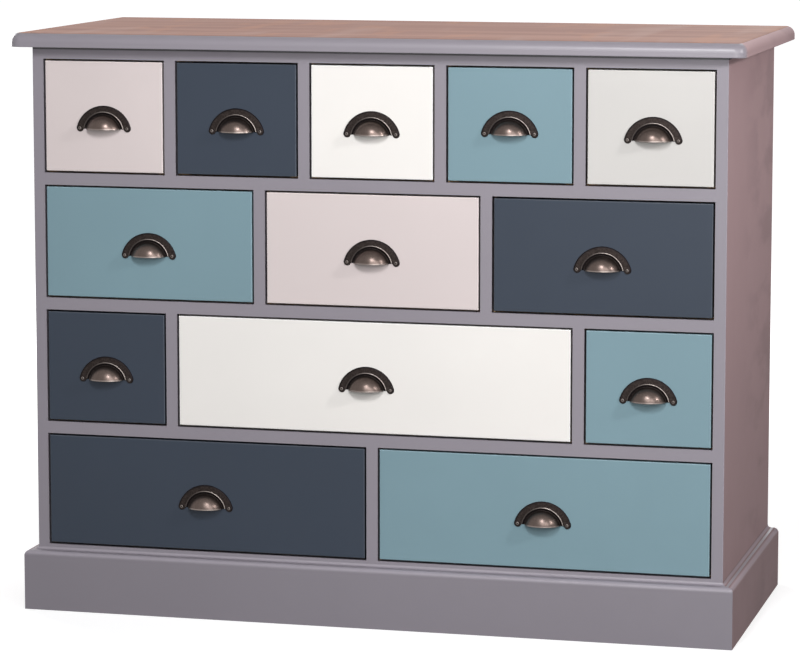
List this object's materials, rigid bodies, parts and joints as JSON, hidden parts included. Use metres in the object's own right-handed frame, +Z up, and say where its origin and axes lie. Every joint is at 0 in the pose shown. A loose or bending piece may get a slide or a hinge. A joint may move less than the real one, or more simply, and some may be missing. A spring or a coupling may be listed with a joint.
{
  "type": "chest of drawers",
  "caption": "Floor-standing chest with a moulded plinth, a rounded overhanging top, and rows of flush painted drawers in mixed widths, each with a cup pull.",
  "frame": {"origin": "on the floor under the middle of the box that holds the whole chest", "axes": "+Z up, +X to the right seen from the front, the drawers open towards -Y"},
  "size_m": [1.158, 0.508, 0.916],
  "materials": {
    "frame_paint": "satin lilac-grey paint on wood",
    "stained_wood": "stained and lacquered top face, painted edges",
    "back_board": "plain thin fibreboard",
    "raw_wood": "unfinished pine",
    "dowel_beech": "plain beech",
    "drawer_wood": "clear sealed pine and plywood",
    "front_pink_beige": "satin pink-beige paint",
    "front_navy": "satin dark navy paint",
    "front_white": "satin warm white paint",
    "front_teal": "satin grey teal paint",
    "front_greige": "satin pale greige paint",
    "pull_bronze": "antique dark bronze, rubbed bright on the cup",
    "steel": "zinc plated"
  },
  "bodies": {
    "carcass": {"top_board": "stained_wood", "top_panel": "frame_paint", "side_left": "frame_paint", "side_right": "frame_paint", "shelf_upper": "frame_paint", "shelf_middle": "frame_paint", "shelf_lower": "frame_paint", "bottom_panel": "frame_paint", "partitions_row_1": "frame_paint", "partitions_row_2": "frame_paint", "partitions_row_3": "frame_paint", "partitions_row_4": "frame_paint", "back_panel": "back_board", "plinth_front": "frame_paint", "plinth_left": "frame_paint", "plinth_right": "frame_paint", "plinth_back": "raw_wood", "glue_blocks": "raw_wood", "dowels": "dowel_beech", "top_screws": "steel", "back_screws": "steel"},
    "drawer_01": {"drawer_01_front": "front_pink_beige", "drawer_01_box": "drawer_wood", "drawer_01_pull": "pull_bronze"},
    "drawer_02": {"drawer_02_front": "front_navy", "drawer_02_box": "drawer_wood", "drawer_02_pull": "pull_bronze"},
    "drawer_03": {"drawer_03_front": "front_white", "drawer_03_box": "drawer_wood", "drawer_03_pull": "pull_bronze"},
    "drawer_04": {"drawer_04_front": "front_teal", "drawer_04_box": "drawer_wood", "drawer_04_pull": "pull_bronze"},
    "drawer_05": {"drawer_05_front": "front_greige", "drawer_05_box": "drawer_wood", "drawer_05_pull": "pull_bronze"},
    "drawer_06": {"drawer_06_front": "front_teal", "drawer_06_box": "drawer_wood", "drawer_06_pull": "pull_bronze"},
    "drawer_07": {"drawer_07_front": "front_pink_beige", "drawer_07_box": "drawer_wood", "drawer_07_pull": "pull_bronze"},
    "drawer_08": {"drawer_08_front": "front_navy", "drawer_08_box": "drawer_wood", "drawer_08_pull": "pull_bronze"},
    "drawer_09": {"drawer_09_front": "front_navy", "drawer_09_box": "drawer_wood", "drawer_09_pull": "pull_bronze"},
    "drawer_10": {"drawer_10_front": "front_white", "drawer_10_box": "drawer_wood", "drawer_10_pull": "pull_bronze"},
    "drawer_11": {"drawer_11_front": "front_teal", "drawer_11_box": "drawer_wood", "drawer_11_pull": "pull_bronze"},
    "drawer_12": {"drawer_12_front": "front_navy", "drawer_12_box": "drawer_wood", "drawer_12_pull": "pull_bronze"},
    "drawer_13": {"drawer_13_front": "front_teal", "drawer_13_box": "drawer_wood", "drawer_13_pull": "pull_bronze"}
  },
  "joints": [
    {"name": "drawer_01_slide", "type": "slide", "parent": "carcass", "child": "drawer_01", "axis": [0, -1, 0], "range_m": [0, 0.3]},
    {"name": "drawer_02_slide", "type": "slide", "parent": "carcass", "child": "drawer_02", "axis": [0, -1, 0], "range_m": [0, 0.3]},
    {"name": "drawer_03_slide", "type": "slide", "parent": "carcass", "child": "drawer_03", "axis": [0, -1, 0], "range_m": [0, 0.3]},
    {"name": "drawer_04_slide", "type": "slide", "parent": "carcass", "child": "drawer_04", "axis": [0, -1, 0], "range_m": [0, 0.3]},
    {"name": "drawer_05_slide", "type": "slide", "parent": "carcass", "child": "drawer_05", "axis": [0, -1, 0], "range_m": [0, 0.3]},
    {"name": "drawer_06_slide", "type": "slide", "parent": "carcass", "child": "drawer_06", "axis": [0, -1, 0], "range_m": [0, 0.3]},
    {"name": "drawer_07_slide", "type": "slide", "parent": "carcass", "child": "drawer_07", "axis": [0, -1, 0], "range_m": [0, 0.3]},
    {"name": "drawer_08_slide", "type": "slide", "parent": "carcass", "child": "drawer_08", "axis": [0, -1, 0], "range_m": [0, 0.3]},
    {"name": "drawer_09_slide", "type": "slide", "parent": "carcass", "child": "drawer_09", "axis": [0, -1, 0], "range_m": [0, 0.3]},
    {"name": "drawer_10_slide", "type": "slide", "parent": "carcass", "child": "drawer_10", "axis": [0, -1, 0], "range_m": [0, 0.3]},
    {"name": "drawer_11_slide", "type": "slide", "parent": "carcass", "child": "drawer_11", "axis": [0, -1, 0], "range_m": [0, 0.3]},
    {"name": "drawer_12_slide", "type": "slide", "parent": "carcass", "child": "drawer_12", "axis": [0, -1, 0], "range_m": [0, 0.3]},
    {"name": "drawer_13_slide", "type": "slide", "parent": "carcass", "child": "drawer_13", "axis": [0, -1, 0], "range_m": [0, 0.3]}
  ]
}
